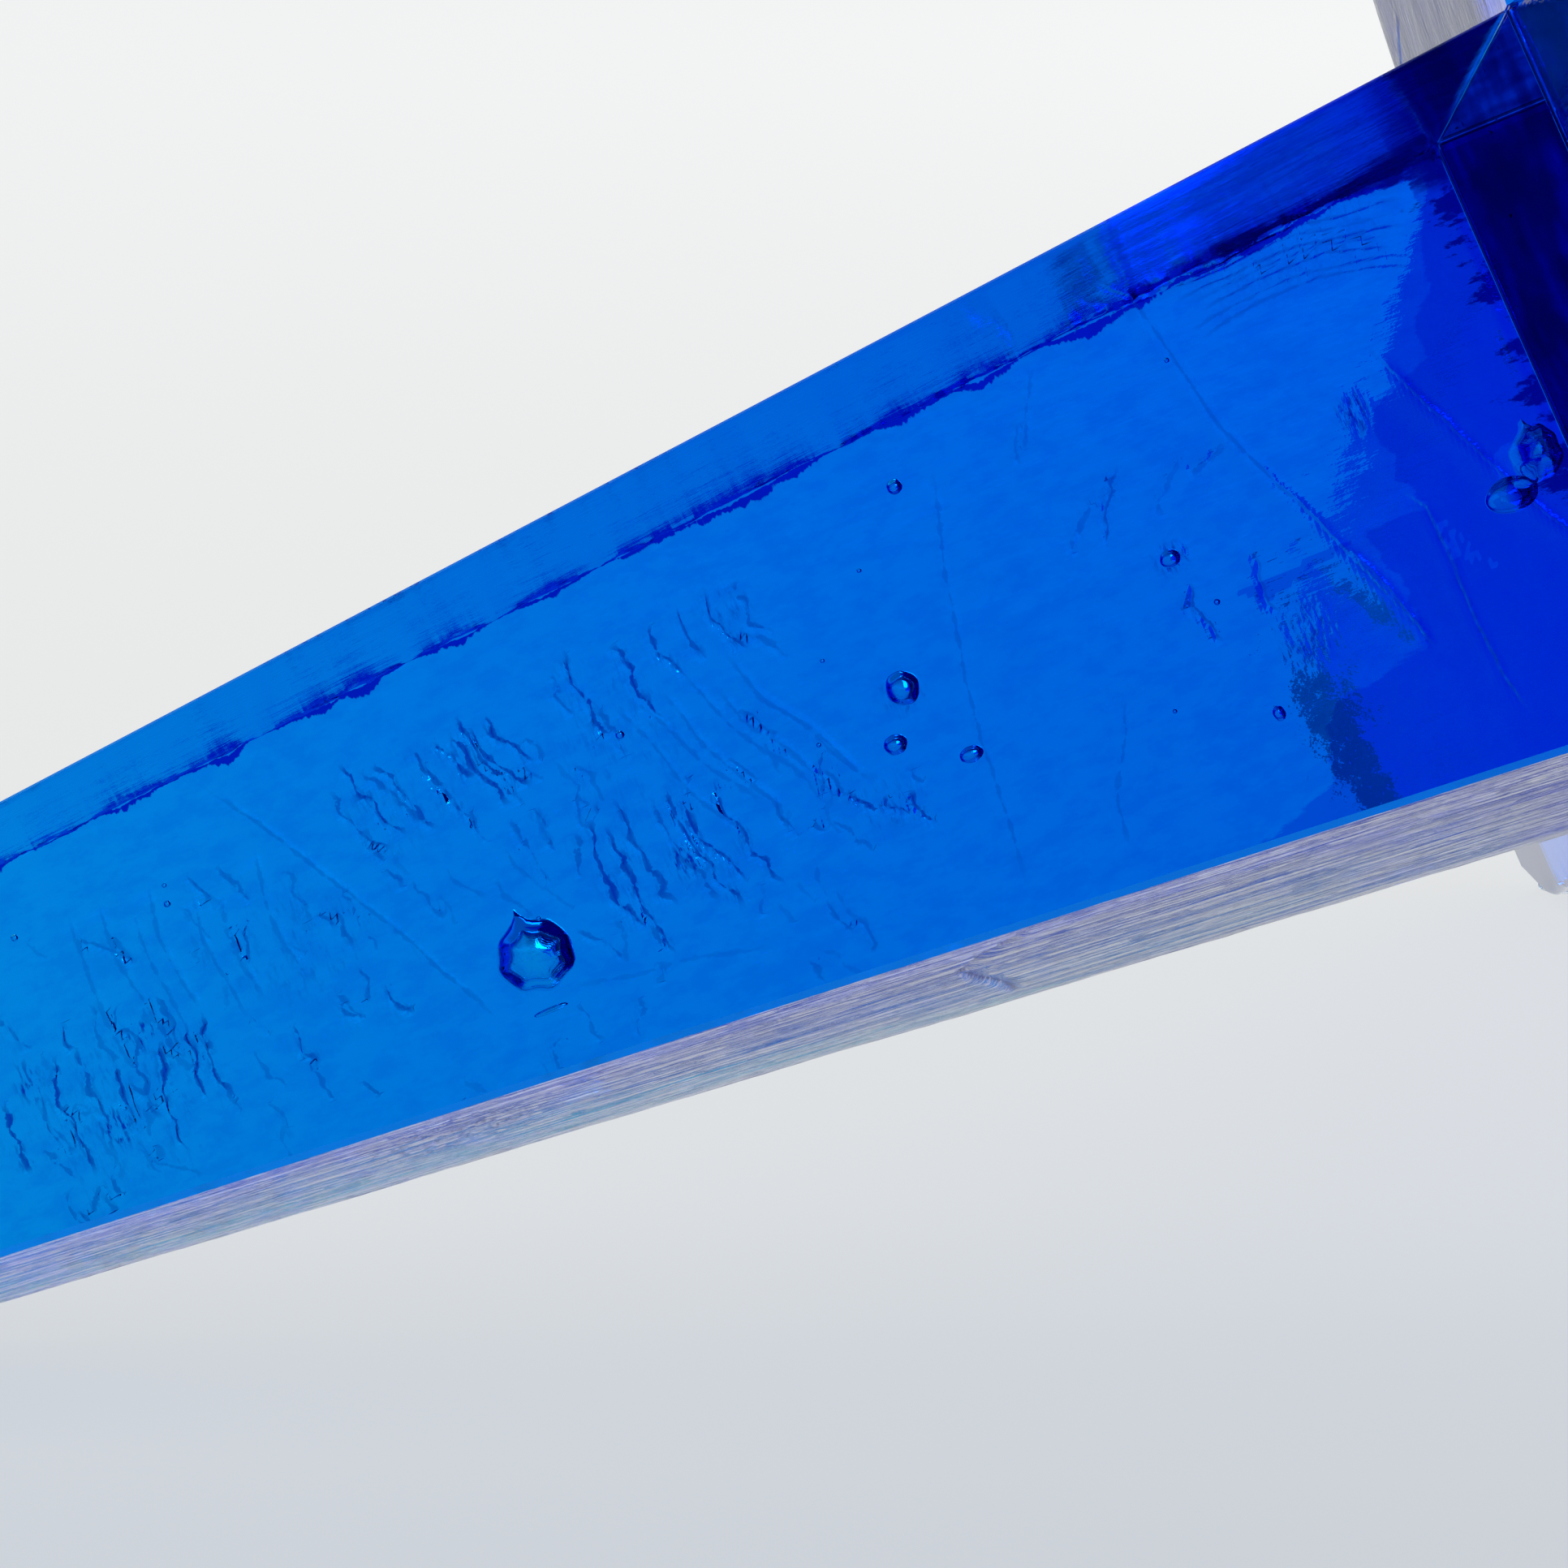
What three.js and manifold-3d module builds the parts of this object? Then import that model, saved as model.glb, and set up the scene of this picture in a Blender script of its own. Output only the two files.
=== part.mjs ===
// Free-standing star of tapered square arms, cast in clear blue glass and bonded to a cube block.
// Millimetres, +Z up. The star stands on the outer corners of three arms, its legs, which share one
// ground plane. The origin lies on that plane, under the centre of the bounding box, and the left
// leg runs out towards -X.
import * as THREE from 'three';
import { mergeVertices } from 'three/addons/utils/BufferGeometryUtils.js';
import Module from 'manifold-3d';

const wasm = await Module();
wasm.setup();

// Block and arm sections
const blockWidth = 65; // side of the cube block that carries the arms
const blockArris = 0.5; // ground flat along each edge of the block
const armTaper = THREE.MathUtils.degToRad(5); // slope of each side of an arm towards its axis
const rearLegTaper = THREE.MathUtils.degToRad(4.1); // the rear leg is the stoutest
const armArris = 0.6; // ground flat along each long edge of an arm
const tipArris = 0.6; // ground flat around each tip

// Reach of each arm, from the centre of the block to its tip
const leftLegReach = 224;
const rearLegReach = 215;
const shortLegReach = 91;
const topArmReach = 300;
const frontArmReach = 206;
const rightArmReach = 202;

// Bonds between the block and the arms
const bondThickness = 0.3; // film of clear adhesive
const bondInset = 0.25; // how far a film's rim stays inside the glass
const bondClearance = 0.05; // between a film and the glass on each side of it

// Feet
const footCut = 5; // depth of the flat that is ground on each leg's lowest corner
const padDiameter = 8; // clear bumper under each foot
const padThickness = 1.8;
const padRounding = 0.4; // radius of a pad's lower rim
const padClearance = 0.1; // between a pad and its ground flat
const padSegments = 28;
const padRoundingSteps = 2;

// Colours
const blueGlass = { color: 0x0a3fd0, roughness: 0.05, metalness: 0 };
const clearBond = { color: 0xbfd8cf, roughness: 0.2, metalness: 0 };
const clearPad = { color: 0xdfe6ea, roughness: 0.35, metalness: 0 };

const blockHalf = blockWidth / 2;
const armStart = blockHalf + bondThickness + 2 * bondClearance;

// Each arm has its own frame: it runs out along its z axis, and side is the axis that its x follows.
const arms = {
  leg_left: { along: [-1, 0, 0], side: [0, 1, 0], reach: leftLegReach, taper: armTaper },
  leg_rear: { along: [0, 1, 0], side: [-1, 0, 0], reach: rearLegReach, taper: rearLegTaper },
  leg_short: { along: [0, 0, -1], side: [-1, 0, 0], reach: shortLegReach, taper: armTaper },
  arm_top: { along: [0, 0, 1], side: [1, 0, 0], reach: topArmReach, taper: armTaper },
  arm_front: { along: [0, -1, 0], side: [1, 0, 0], reach: frontArmReach, taper: armTaper },
  arm_right: { along: [1, 0, 0], side: [0, 1, 0], reach: rightArmReach, taper: armTaper },
};
const legs = ['leg_left', 'leg_rear', 'leg_short'];
// Every leg stands on the tip corner that lies on this side of the star.
const footSide = [-1, 1, -1];

const mergeTolerance = 1e-5; // points of one solid closer than this are one point
const cutterMargin = 1.5; // width of the tool that grinds a foot, in widths of its flat

// Half the width of an arm at a distance from the centre of the block.
function armHalf(arm, distance) {
  return blockHalf - (distance - armStart) * Math.tan(arm.taper);
}

function vector(xyz) {
  return new THREE.Vector3(...xyz);
}

// A square with cut corners, as points in the plane at height z.
function cutSquare(half, arris, z) {
  const cut = half - arris;
  const points = [];
  for (const [x, y] of [[1, 1], [-1, 1], [-1, -1], [1, -1]]) {
    const first = [x * half, y * cut, z];
    const second = [x * cut, y * half, z];
    points.push(...(x * y > 0 ? [first, second] : [second, first]));
  }
  return points;
}

// A closed solid through rings of equal point count, listed from the lowest to the highest.
function loft(rings) {
  const count = rings[0].length;
  const index = [];
  for (let ring = 0; ring + 1 < rings.length; ring += 1) {
    for (let i = 0; i < count; i += 1) {
      const a = ring * count + i;
      const b = ring * count + (i + 1) % count;
      index.push(a, b, b + count, a, b + count, a + count);
    }
  }
  const top = (rings.length - 1) * count;
  for (let i = 1; i + 1 < count; i += 1) {
    index.push(0, i + 1, i, top, top + i, top + i + 1);
  }
  const geometry = new THREE.BufferGeometry();
  geometry.setAttribute('position', new THREE.Float32BufferAttribute(rings.flat(2), 3));
  geometry.setIndex(index);
  return geometry;
}

function toManifold(source) {
  const bare = source.clone();
  bare.deleteAttribute('normal');
  bare.deleteAttribute('uv');
  const merged = mergeVertices(bare, mergeTolerance);
  return new wasm.Manifold(new wasm.Mesh({
    numProp: 3,
    vertProperties: Float32Array.from(merged.attributes.position.array),
    triVerts: Uint32Array.from(merged.index.array),
  }));
}

function fromManifold(solid) {
  const mesh = solid.getMesh();
  const geometry = new THREE.BufferGeometry();
  geometry.setAttribute('position', new THREE.BufferAttribute(mesh.vertProperties, 3));
  geometry.setIndex(new THREE.BufferAttribute(mesh.triVerts, 1));
  return geometry;
}

function subtract(geometry, tool) {
  return fromManifold(toManifold(geometry).subtract(toManifold(tool)));
}

// The turn that carries an arm's own axes into the star's.
function armTurn({ along, side }) {
  const z = vector(along);
  const x = vector(side);
  return new THREE.Matrix4().makeBasis(x, z.clone().cross(x), z);
}

function armGeometry(arm) {
  const shoulder = arm.reach - tipArris;
  const geometry = loft([
    cutSquare(blockHalf, armArris, armStart),
    cutSquare(armHalf(arm, shoulder), armArris, shoulder),
    cutSquare(armHalf(arm, arm.reach) - tipArris, armArris, arm.reach),
  ]);
  return geometry.applyMatrix4(armTurn(arm));
}

// The sharp outer corner of a leg's tip, before its edges and its foot are ground.
function footCorner(leg) {
  const half = armHalf(leg, leg.reach);
  return vector(leg.along.map((a, i) => (a === 0 ? footSide[i] * half : a * leg.reach)));
}

// Directions of the three edges that meet in that corner, each leading away from it.
function footEdges(leg) {
  const across = [0, 1, 2].filter((i) => leg.along[i] === 0);
  const edges = across.map((i) => vector([0, 1, 2].map((j) => (j === i ? -footSide[i] : 0))));
  const slope = Math.tan(leg.taper);
  edges.push(vector(leg.along.map((a, i) => (a === 0 ? footSide[i] * slope : -a))).normalize());
  return edges;
}

// The flat that is ground on a foot: the centre of the circle that fits in it, and the distance
// from there to its farthest corner.
function footFlat(leg, up) {
  const tip = footCorner(leg);
  const [a, b, c] = footEdges(leg).map((edge) => (
    tip.clone().addScaledVector(edge, footCut / edge.dot(up))));
  const weights = [b.distanceTo(c), c.distanceTo(a), a.distanceTo(b)];
  const total = weights[0] + weights[1] + weights[2];
  const centre = new THREE.Vector3();
  [a, b, c].forEach((point, i) => centre.addScaledVector(point, weights[i] / total));
  return { centre, radius: Math.max(...[a, b, c].map((point) => point.distanceTo(centre))) };
}

// The vertical of the standing star in its own axes: square to the plane of the three feet.
function standingUp() {
  const [left, rear, short] = legs.map((name) => footCorner(arms[name]));
  const up = rear.sub(left).cross(short.sub(left)).normalize();
  return up.z < 0 ? up.negate() : up;
}

// The turn that stands the star up, with the left leg's axis over -X.
function standingTurn(up) {
  const x = vector(arms.leg_left.along).negate();
  x.addScaledVector(up, -x.dot(up)).normalize();
  return new THREE.Matrix4().makeBasis(x, up.clone().cross(x), up).transpose();
}

// A block whose upper face is the ground flat of the leg's foot.
function footCutter(leg, up) {
  const { centre, radius } = footFlat(leg, up);
  const width = 2 * radius * cutterMargin;
  const cutter = new THREE.BoxGeometry(width, width, width);
  cutter.translate(0, 0, -width / 2);
  cutter.applyQuaternion(new THREE.Quaternion().setFromUnitVectors(new THREE.Vector3(0, 0, 1), up));
  return cutter.translate(...centre.toArray());
}

function bondGeometry(arm) {
  const width = blockWidth - 2 * bondInset;
  const film = new THREE.BoxGeometry(width, width, bondThickness);
  film.translate(0, 0, blockHalf + bondClearance + bondThickness / 2);
  return film.applyMatrix4(armTurn(arm));
}

function blockGeometry() {
  const inner = blockHalf - blockArris;
  return loft([
    cutSquare(inner, blockArris, -blockHalf),
    cutSquare(blockHalf, blockArris, -inner),
    cutSquare(blockHalf, blockArris, inner),
    cutSquare(inner, blockArris, blockHalf),
  ]);
}

// A round bumper whose upper face lies at height 0.
function padGeometry() {
  const radius = padDiameter / 2;
  const rim = new THREE.Path();
  rim.moveTo(0, -padThickness);
  rim.lineTo(radius - padRounding, -padThickness);
  rim.absarc(radius - padRounding, padRounding - padThickness, padRounding, -Math.PI / 2, 0, false);
  rim.lineTo(radius, 0);
  rim.lineTo(0, 0);
  return new THREE.LatheGeometry(rim.getPoints(padRoundingSteps), padSegments).rotateX(Math.PI / 2);
}

function piece(name, geometry, look) {
  const mesh = new THREE.Mesh(geometry, new THREE.MeshStandardMaterial(look));
  mesh.name = name;
  return mesh;
}

function buildStar(up) {
  const star = new THREE.Group();
  star.add(piece('hub_block', blockGeometry(), blueGlass));
  for (const [name, arm] of Object.entries(arms)) {
    const whole = armGeometry(arm);
    const glass = legs.includes(name) ? subtract(whole, footCutter(arm, up)) : whole;
    star.add(piece(name, glass, blueGlass));
    star.add(piece(`bond_${name}`, bondGeometry(arm), clearBond));
  }
  return star;
}

function buildPads(up, turn) {
  const pads = new THREE.Group();
  for (const name of legs) {
    const pad = piece(`pad_${name}`, padGeometry(), clearPad);
    pad.position.copy(footFlat(arms[name], up).centre.applyMatrix4(turn));
    pad.position.z -= padClearance;
    pads.add(pad);
  }
  return pads;
}

function buildSculpture() {
  const up = standingUp();
  const turn = standingTurn(up);
  const star = buildStar(up);
  star.quaternion.setFromRotationMatrix(turn);
  const sculpture = new THREE.Group();
  sculpture.add(star, buildPads(up, turn));
  sculpture.updateMatrixWorld(true);
  const box = new THREE.Box3().setFromObject(sculpture, true);
  const centre = box.getCenter(new THREE.Vector3());
  sculpture.position.set(-centre.x, -centre.y, -box.min.z);
  sculpture.updateMatrixWorld(true);
  return sculpture;
}

export default buildSculpture();
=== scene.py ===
"""Looks of a star sculpture in clear blue cast glass: arms, block, films of adhesive and bumpers.

Each arm has its own frame in millimetres: u runs out along the arm, p towards its polished face, and q
completes the right-handed set. The other three faces keep the surface that the mould gave them.
"""

import math
from types import SimpleNamespace

import bmesh
import bpy
import numpy as np
from mathutils import Euler, Matrix, Vector


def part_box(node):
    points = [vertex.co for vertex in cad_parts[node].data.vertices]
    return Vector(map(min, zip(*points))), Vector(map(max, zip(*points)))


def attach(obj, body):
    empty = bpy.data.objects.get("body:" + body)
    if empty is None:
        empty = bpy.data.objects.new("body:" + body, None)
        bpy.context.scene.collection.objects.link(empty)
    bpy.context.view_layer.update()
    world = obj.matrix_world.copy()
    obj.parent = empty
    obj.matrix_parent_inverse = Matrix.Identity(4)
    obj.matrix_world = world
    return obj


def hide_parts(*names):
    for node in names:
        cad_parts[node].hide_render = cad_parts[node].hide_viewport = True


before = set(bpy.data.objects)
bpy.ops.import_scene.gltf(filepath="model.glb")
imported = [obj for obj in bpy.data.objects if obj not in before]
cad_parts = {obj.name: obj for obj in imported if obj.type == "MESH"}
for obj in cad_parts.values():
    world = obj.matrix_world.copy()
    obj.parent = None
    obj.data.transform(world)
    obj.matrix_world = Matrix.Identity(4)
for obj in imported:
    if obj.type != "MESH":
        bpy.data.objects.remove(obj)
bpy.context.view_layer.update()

# Star

BODY = "root"
CENTRE = sum(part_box("hub_block"), Vector()) / 2
PER_METRE = 1000  # millimetres


def bond_direction(arm):
    """Unit vector from the middle of the block towards an arm's bond."""
    return (sum(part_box("bond_" + arm), Vector()) / 2 - CENTRE).normalized()


STAR_X = bond_direction("arm_right")
STAR_Y = bond_direction("leg_rear")
STAR_Z = bond_direction("arm_top")

# Directions of each arm and of its polished face, in the star's own axes
ARMS = {
    "leg_left": ((-1, 0, 0), (0, -1, 0)),
    "leg_rear": ((0, 1, 0), (0, 0, 1)),
    "leg_short": ((0, 0, -1), (0, -1, 0)),
    "arm_top": ((0, 0, 1), (0, -1, 0)),
    "arm_front": ((0, -1, 0), (0, 0, 1)),
    "arm_right": ((1, 0, 0), (0, -1, 0)),
}
LEGS = ("leg_left", "leg_rear", "leg_short")
SHOWN = "leg_left"  # fills most of the photograph
BEHIND = "leg_rear"  # shows through it

ARRIS = 0.6  # ground flat along each edge of a polished face, and around each tip
FINE_ARRISES = (0.6, 0.22)  # the shown arm's, lower and upper, which widen to the others' near its tip
TIP_INSET = 0.05  # keeps the tips inside the CAD model's box
CORNER_STEPS = 6  # columns around each rounded corner
BLOCK_HALF = 32.5
BLOCK_ARRIS = 0.15
FILM_HALF = 32.3  # of the part of a joint that the adhesive surely wets

# How finely each arm is meshed: the step along it up to a place, and the columns on each side
FINE = {"step": 0.4, "fine_to": 203.0, "rear": 112, "lower": 36, "upper": 40, "polished": 6}
PLAIN = {"step": 1.1, "fine_to": 1000.0, "rear": 34, "lower": 26, "upper": 26, "polished": 6}
COARSE_STEP = 1.2  # beyond that place


def star_vector(x, y, z):
    """A direction given in the star's axes, in the row frame."""
    return STAR_X * x + STAR_Y * y + STAR_Z * z


# Noise

NOISE_CELLS = 64  # in each direction, before it repeats


def fade(t):
    return t * t * t * (t * (t * 6 - 15) + 10)


def noise(x, y, seed):
    """Smooth gradient noise, between about -1 and 1."""
    angle = np.random.default_rng(seed).uniform(0, 2 * math.pi, (NOISE_CELLS, NOISE_CELLS))
    x0 = np.floor(x).astype(int)
    y0 = np.floor(y).astype(int)
    fx = x - x0
    fy = y - y0

    def corner(i, j):
        a = angle[(x0 + i) % NOISE_CELLS, (y0 + j) % NOISE_CELLS]
        return np.cos(a) * (fx - i) + np.sin(a) * (fy - j)

    low = corner(0, 0) * (1 - fade(fx)) + corner(1, 0) * fade(fx)
    high = corner(0, 1) * (1 - fade(fx)) + corner(1, 1) * fade(fx)
    return 1.4 * (low * (1 - fade(fy)) + high * fade(fy))


def noise_along(x, row, seed):
    """Noise along one line; rows are different lines."""
    return noise(x, x * 0 + row, seed)


def layered(u, w, layers, seed):
    """A sum of noises from 0 up; a layer has an amplitude and a length along and across the arm."""
    total = 0
    for k, (amplitude, along, across) in enumerate(layers):
        total = total + amplitude * (1 + noise(u / along, w / across, seed + k))
    return total


def smooth_step(value):
    """0 below 0, 1 above 1, smooth between."""
    t = np.clip(value, 0, 1)
    return t * t * (3 - 2 * t)


# Relief of the mould faces, as depths into the glass in millimetres.
# Points lie on the unrolled mould faces: u along the arm, w across the rear face from its middle and
# on around its two corners onto the upper and the lower face.

LAP_END = 0.15  # share of a lap in which it fades, at each end
CREASE_WIDTH = 0.55


def distances(u, w, line):
    """Distance to a line of points, signed by the side, and the share of the line that has been passed."""
    best = np.full(u.shape, 1e9)
    side = np.zeros(u.shape)
    passed = np.zeros(u.shape)
    line = np.array(line, float)
    steps = np.hypot(*np.diff(line, axis=0).T)
    total = steps.sum()
    done = 0.0
    for (u0, w0), (u1, w1), length in zip(line[:-1], line[1:], steps):
        du, dw = (u1 - u0) / length, (w1 - w0) / length
        run = np.clip((u - u0) * du + (w - w0) * dw, 0, length)
        off_u = u - u0 - run * du
        off_w = w - w0 - run * dw
        far = np.hypot(off_u, off_w)
        near = far < best
        best = np.where(near, far, best)
        side = np.where(near, np.sign(du * off_w - dw * off_u), side)
        passed = np.where(near, (done + run) / total, passed)
        done += length
    return best * np.where(side < 0, -1, 1), passed


def patch(u, w, middle, radii):
    """A soft-edged oval: 1 in the middle, 0 outside."""
    return smooth_step(1.6 * (1 - np.hypot((u - middle[0]) / radii[0], (w - middle[1]) / radii[1])))


def crumple(u, w, seed, size, turn):
    """Ridged creases like those of crushed cloth, between 0 and 1."""
    c, s = math.cos(turn), math.sin(turn)
    along = (u * c + w * s) / (size * 2.2)
    across = (-u * s + w * c) / size
    bend = 0.5 * noise(along * 0.7, across * 0.4, seed + 1)
    ridge = 1 - np.abs(noise(along + bend, across + bend, seed))
    return np.clip(ridge, 0, 1) ** 6


def flowing(u, w, seed):
    """Undulation and flow ripple of glass that has settled in a warm mould."""
    drift = 0.9 * noise(u / 26, w / 12, seed)
    swell = layered(u, w, [(0.11, 24, 13), (0.06, 9, 6)], seed + 1)
    ripple = layered(u, w + drift, [(0.030, 17, 2.3), (0.014, 8, 1.1)], seed + 3)
    return swell + ripple + layered(u, w, [(0.022, 2.4, 1.8)], seed + 5)


def grain(u, w, seed):
    """Wood-like grain along the lower face."""
    drift = 1.8 * noise(u / 40, w / 14, seed)
    return layered(u, w + drift, [(0.070, 38, 3.3), (0.042, 18, 1.6), (0.02, 9, 0.9)], seed + 1)


class Relief:
    """An arm's relief on a grid of points, and what its material needs to draw the finest of it.

    depth goes into the glass. The creases lie in two layers in turn. In each, side is the signed
    distance to the nearest crease, and near fades with it; near sets the fold's bump and the painted
    shade along the crease. scuff marks where the skin is finely torn, and sets its bump and specks of
    painted shade.
    """

    def __init__(self, u, w, seed):
        self.u = u
        self.w = w
        self.depth = flowing(u, w, seed)
        self.side = [np.full(u.shape, 3.0)] * 2
        self.near = [np.zeros(u.shape)] * 2
        self.layer = 0
        self.scuff = np.zeros(u.shape)
        self.patchy = np.clip(0.6 + noise(u / 3, w / 3, 77), 0, 1)

    def lap(self, line, depth, bend, sharp=0.36, gentle=2.0, dark=1.0):
        """A cold lap: steep on one side of the line, running out gently on the other."""
        off, passed = distances(self.u + bend[0], self.w + bend[1], line)
        ends = smooth_step(passed / LAP_END) * smooth_step((1 - passed) / LAP_END)
        own = depth * np.where(off < 0, np.exp(-(off / sharp) ** 2), np.exp(-off / gentle)) * ends
        self.depth = np.maximum(self.depth, own + self.depth * 0.6)
        self.crease(off, ends * dark * min(1.0, depth / 0.24))

    def crease(self, off, dark):
        """The line of painted shade along a lap, which also sets its fold's bump, and the torn skin beside
        it.
        """
        near = dark * np.exp(-(off / CREASE_WIDTH) ** 2)
        self.side[self.layer] = np.where(near > self.near[self.layer], off, self.side[self.layer])
        self.near[self.layer] = np.maximum(self.near[self.layer], near)
        self.layer = 1 - self.layer
        torn = 0.9 * dark ** 2 * np.exp(-np.abs(off) / 0.6) * (off > -0.4)
        self.scuff = np.maximum(self.scuff, torn * self.patchy)

    def crumpled(self, middle, radii, depth, size, seed, turn=1.4):
        """A patch of small creases. The skin of a deep one is torn between them too."""
        here = patch(self.u, self.w, middle, radii)
        creases = crumple(self.u, self.w, seed, size, turn)
        self.depth = self.depth + depth * here * creases
        filled = 0.6 * smooth_step((depth - 0.3) / 0.1)
        torn = here * (creases + (1 - creases) * filled) * min(1.0, 2.4 * depth)
        self.scuff = np.maximum(self.scuff, torn)


# Left leg's marks as the photograph shows them, in (u, w)

# Cold laps: depth, and the line that each follows
LAPS = [
    (0.42, [(47, 17.5), (44, 10), (40, 0.5), (36, -6.5), (33, -13)]),
    (0.34, [(71, 52), (66.5, 34.5), (65.5, 28.5), (63, 15.5), (58, 3.5), (55, -5), (52.5, -11.5)]),
    (0.40, [(56.5, 0), (54.5, -5), (52, -12.5)]),
    (0.28, [(89, 22.5), (92.5, 12), (94.5, -0.5), (96, -11.5), (97, -19.5)]),
    (0.24, [(81.5, -5.5), (82.5, -9), (85.8, -14), (86.5, -19)]),
    (0.40, [(165, 19.5), (159.5, 11), (153, 0), (149.5, -7), (146.5, -13)]),
    (0.16, [(140, -11.5), (130, -13), (120.5, -15)]),
    (0.34, [(77, 27), (79.5, 23), (81, 19.5)]),
    (0.22, [(80.5, 22.5), (81.5, 20.5), (82, 18.5)]),
    (0.22, [(49.5, 3.5), (47.5, 0.5), (47.5, -17), (46, -21.5)]),
]
# A seam with a branch, and a crumpled spot, on the lower face
SEAMS = [
    [(102.6, -74.5), (106.5, -66), (108.9, -58.6), (122.7, -55.5)],
    [(108.9, -58.6), (105.5, -47), (101.5, -33)],
]
UNDER_SPOT = ((156, -47.5), (10, 14))
# Edge of the deeper blue painted near the block as shade, from the upper face over the rear face to the
# lower face
ROYAL_EDGE = [
    (72, 56), (66.5, 34.5), (64, 31), (36.5, 31), (37, 27), (38.5, 23), (39.2, 20), (41.5, 18),
    (42.2, 13.7), (45.5, 12.3), (48.9, 10.9), (49.5, 8.9), (48.4, 6.2), (49.3, 3.6), (47.7, 0.6),
    (54.2, 0.3), (53, -5), (52.5, -9), (52.6, -11.5), (60.5, -12.8), (63.4, -13.3), (65.2, -16.6),
    (66.4, -20.2), (69.6, -21.7), (80, -25), (100, -31),
]
# BARE_SPOT is a spot left out of the deeper blue's painted shade
BARE_SPOT = ((38.2, 1.0), 2.2)  # left light within the deeper blue: its middle and radius
# Rows of small waves: first and last place along the leg, top and bottom, count, lean, depth
WAVES = [
    (153.5, 136.5, 15.5, 6.0, 11, -3.0, 0.26),
    (131.5, 110.5, 18.0, 9.0, 7, -1.5, 0.24),
    (133.0, 120.5, 3.5, -12.0, 7, -2.0, 0.26),
    (191.0, 172.0, 0.0, -12.0, 9, 0.5, 0.26),
    (184.5, 176.5, 3.0, -3.5, 4, -0.5, 0.20),
    (169.0, 156.0, -4.0, -11.0, 4, -1.5, 0.18),
    (107.5, 102.0, -4.0, -9.0, 4, -1.0, 0.22),
    (77.0, 64.0, 15.0, 8.0, 4, 4.0, 0.16),
    (70.5, 65.0, 3.0, -4.0, 2, -0.5, 0.18),
]
# Soft curved striations, in the same terms
STRIATIONS = [
    (181.0, 163.0, 11.5, -6.0, 7, -0.5, 0.50),
    (126.0, 113.0, 11.5, -6.0, 7, -8.0, 0.34),
    (146.0, 140.0, 3.0, -4.0, 3, -2.0, 0.2),
]
# Crumpled spots: middle, radii, depth, size of the creases
CRUMPLES = [
    ((162, 1.5), (9, 8), 0.14, 1.5),
    ((182, -6.5), (13, 11), 0.14, 1.7),
    ((148, 10.5), (8, 7), 0.12, 1.6),
    ((126.5, 8.5), (9, 11), 0.12, 1.7),
    ((113, 16), (3.5, 4), 0.26, 1.2),
    ((105.5, -7), (4.5, 4.5), 0.24, 1.2),
    ((178, -0.5), (2.4, 1.8), 0.45, 1.0),
    ((189.5, -1), (1.8, 2.8), 0.40, 1.0),
    ((183.5, -8), (2.4, 3.0), 0.40, 1.0),
    ((100.5, 2.5), (3, 3), 0.28, 1.1),
    ((125, -4.5), (2.8, 2.6), 0.40, 1.0),
    ((72, 5), (2.4, 2.0), 0.45, 0.9),
    ((50.5, 11.5), (2, 3), 0.45, 1.1),
    ((63, -6.5), (4, 5), 0.28, 1.3),
]
# Bubbles: place and diameters, each as (u, p, q)
BUBBLES = [
    ((142.5, -7.0, -9.0), (7.2, 6.6, 7.0)),
    ((143.0, -7.0, -14.2), (3.4, 1.0, 0.6)),
    ((102.5, -3.5, 0.5), (3.2, 3.0, 3.4)),
    ((105.0, -4.0, -4.0), (2.3, 2.0, 2.0)),
    ((99.0, -3.5, -7.5), (2.3, 1.6, 1.6)),
    ((96.0, -3.0, 18.0), (1.5, 1.5, 1.5)),
    ((75.5, -1.5, 2.0), (2.0, 1.5, 1.7)),
    ((72.0, -1.0, -15.0), (1.2, 1.2, 1.5)),
    ((41.4, 1.5, -2.2), (4.6, 11.0, 5.2)),
    ((44.9, 1.5, -4.8), (5.0, 2.4, 3.4)),
]
SWIRL_SPOT = ((49, 28.5), (14, 5))  # crumpled, under the upper rear edge and near the block
SWIRLS = 7  # streaks there
STROKES = 130  # short creases between the rows
SEEDS = 14  # further small bubbles in each arm
# Where the mould's upper rear corner wasn't filled: place along the arm and extra radius
SLUMPS = {"leg_left": ((57.0, 1.2), (35.0, 2.5))}


def wave_lines(first, last, top, bottom, count, lean, rng):
    """Wiggly lines across the arm, side by side from the first place to the last."""
    lines = []
    for i in range(count):
        u = first + (last - first) * i / max(1, count - 1) + rng.uniform(-0.9, 0.9)
        high = top + rng.uniform(-2.5, 1.0)
        low = bottom + rng.uniform(-1.0, 4.0)
        if high - low < 2:
            low = high - 2
        points = []
        for k in range(4):
            bend = math.sin(math.pi * k / 3) * rng.uniform(0.2, 1.0)
            points.append((u + lean * k / 3 + bend, high + (low - high) * k / 3))
        lines.append(points)
    return lines


def add_swirls(relief, bend, rng):
    """Brush-like streaks under the upper rear edge, near the block."""
    for k in range(SWIRLS):
        lift = 31.0 - 1.1 * k + rng.uniform(-0.3, 0.3)
        start = rng.uniform(-3, 3)
        line = [(60 - start, lift - 1.2), (54, lift - 0.2), (47 - start, lift), (40 + start, lift - 2.5)]
        relief.lap(line, rng.uniform(0.15, 0.35), bend, 0.5, 0.9, dark=0.5)


def add_strokes(relief, bend, rng):
    """Short creases strewn over the outer part of the left leg."""
    for _ in range(STROKES):
        u0 = rng.uniform(108, 192)
        w0 = rng.uniform(-18, 19 - 0.04 * u0)
        lean = rng.normal(-0.25, 0.35)
        length = rng.uniform(1.5, 5)
        line = [(u0 + lean * k * length / 2, w0 - k * length / 2) for k in range(3)]
        relief.lap(line, rng.uniform(0.05, 0.18), bend, 0.34, 0.7)


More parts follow.
